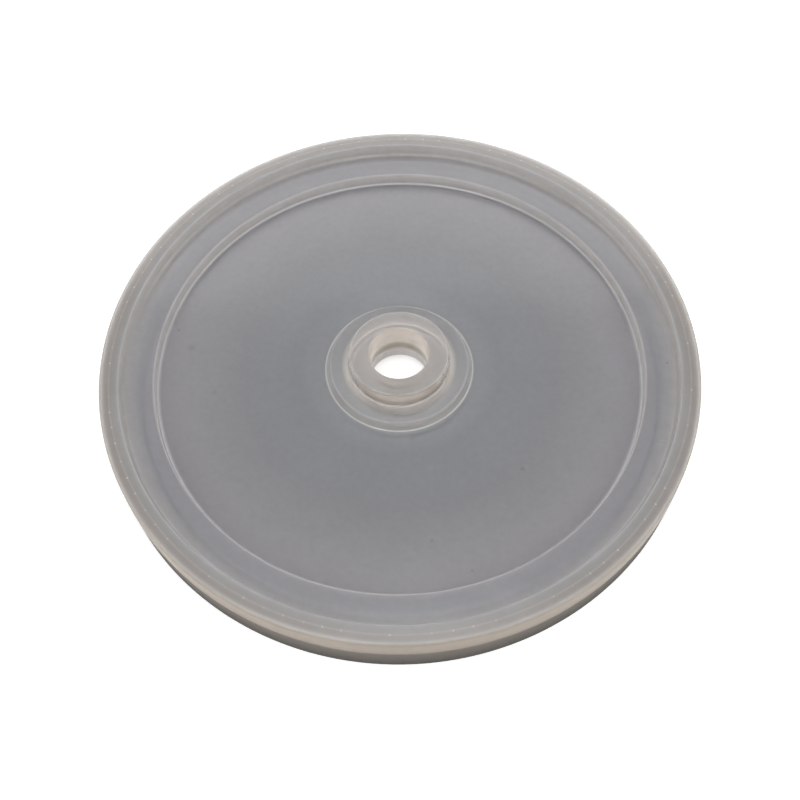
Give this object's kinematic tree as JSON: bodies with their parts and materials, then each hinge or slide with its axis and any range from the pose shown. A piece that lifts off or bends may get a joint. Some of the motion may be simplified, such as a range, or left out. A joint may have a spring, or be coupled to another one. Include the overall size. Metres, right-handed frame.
{
  "type": "pump diaphragm seal",
  "caption": "Round one-piece moulded diaphragm with a thick rim bead, a stepped clamping ring, a thin web and a central collar with a through bore.",
  "frame": {"origin": "centre of the bore, on the plane of the rim bead's under face", "axes": "+Z along the bore axis, from the under face towards the side with the raised clamping ring"},
  "size_m": [0.105, 0.105, 0.01],
  "materials": {
    "elastomer": "clear, slightly milky polyurethane with a satin moulded surface"
  },
  "bodies": {
    "root": {"diaphragm": "elastomer"}
  },
  "joints": []
}
